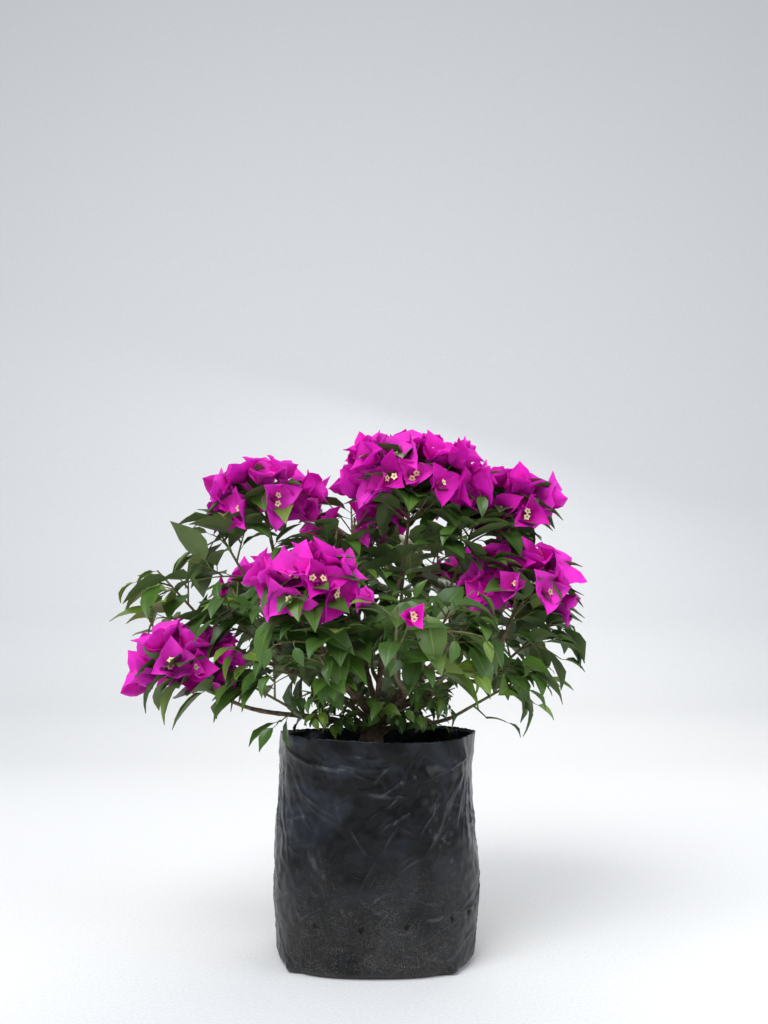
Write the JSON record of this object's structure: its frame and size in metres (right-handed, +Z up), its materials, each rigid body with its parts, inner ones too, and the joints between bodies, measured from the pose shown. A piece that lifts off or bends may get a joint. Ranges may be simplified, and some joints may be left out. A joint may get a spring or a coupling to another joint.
{
  "type": "potted bougainvillea bush",
  "caption": "Young flowering shrub with a low fork, spreading boughs, drooping leaves and papery bracts, growing in a soil-filled film nursery bag.",
  "frame": {"origin": "middle of the flat underside of the nursery bag", "axes": "+Z up, +X to the right and -Y towards the viewer of the picture"},
  "size_m": [0.5567, 0.4439, 0.5837],
  "materials": {
    "bag_film": "satin black polyethylene film, dusty low down",
    "soil": "matt crumbly potting soil",
    "bark": "matt grey-brown bark",
    "leaves": "dark green leaf with a soft gloss",
    "bracts": "papery magenta bract"
  },
  "bodies": {
    "root": {"bag": "bag_film", "soil": "soil", "trunk": "bark", "bough_leaves_left_high": "bark", "bough_leaves_left_far": "bark", "bough_leaves_left_mid": "bark", "bough_leaves_left_low": "bark", "bough_leaves_middle": "bark", "bough_leaves_right_high": "bark", "bough_leaves_front_left": "bark", "bough_leaves_front_right": "bark", "bough_leaves_right_mid": "bark", "bough_leaves_right_low": "bark", "bough_leaves_back_left": "bark", "bough_leaves_back_right": "bark", "bough_leaves_back_high": "bark", "bough_leaves_back_low": "bark", "bough_leaves_heart": "bark", "bough_bracts_top_left": "bark", "bough_bracts_top_main": "bark", "bough_bracts_top_right": "bark", "bough_bracts_front_left": "bark", "bough_bracts_right": "bark", "bough_bracts_left_low": "bark", "bough_bracts_back_top": "bark", "bough_bracts_back_left": "bark", "bough_bracts_back_right": "bark", "bough_bracts_middle": "bark", "bough_bracts_front": "bark", "leaves_left_high": "leaves", "leaves_left_far": "leaves", "leaves_left_mid": "leaves", "leaves_left_low": "leaves", "leaves_middle": "leaves", "leaves_right_high": "leaves", "leaves_front_left": "leaves", "leaves_front_right": "leaves", "leaves_right_mid": "leaves", "leaves_right_low": "leaves", "leaves_back_left": "leaves", "leaves_back_right": "leaves", "leaves_back_high": "leaves", "leaves_back_low": "leaves", "leaves_heart": "leaves", "leaves_foot_left": "leaves", "leaves_foot_right": "leaves", "bracts_top_left": "bracts", "bracts_top_main": "bracts", "bracts_top_right": "bracts", "bracts_front_left": "bracts", "bracts_right": "bracts", "bracts_left_low": "bracts", "bracts_back_top": "bracts", "bracts_back_left": "bracts", "bracts_back_right": "bracts", "bracts_middle": "bracts", "bracts_front": "bracts"}
  },
  "joints": []
}
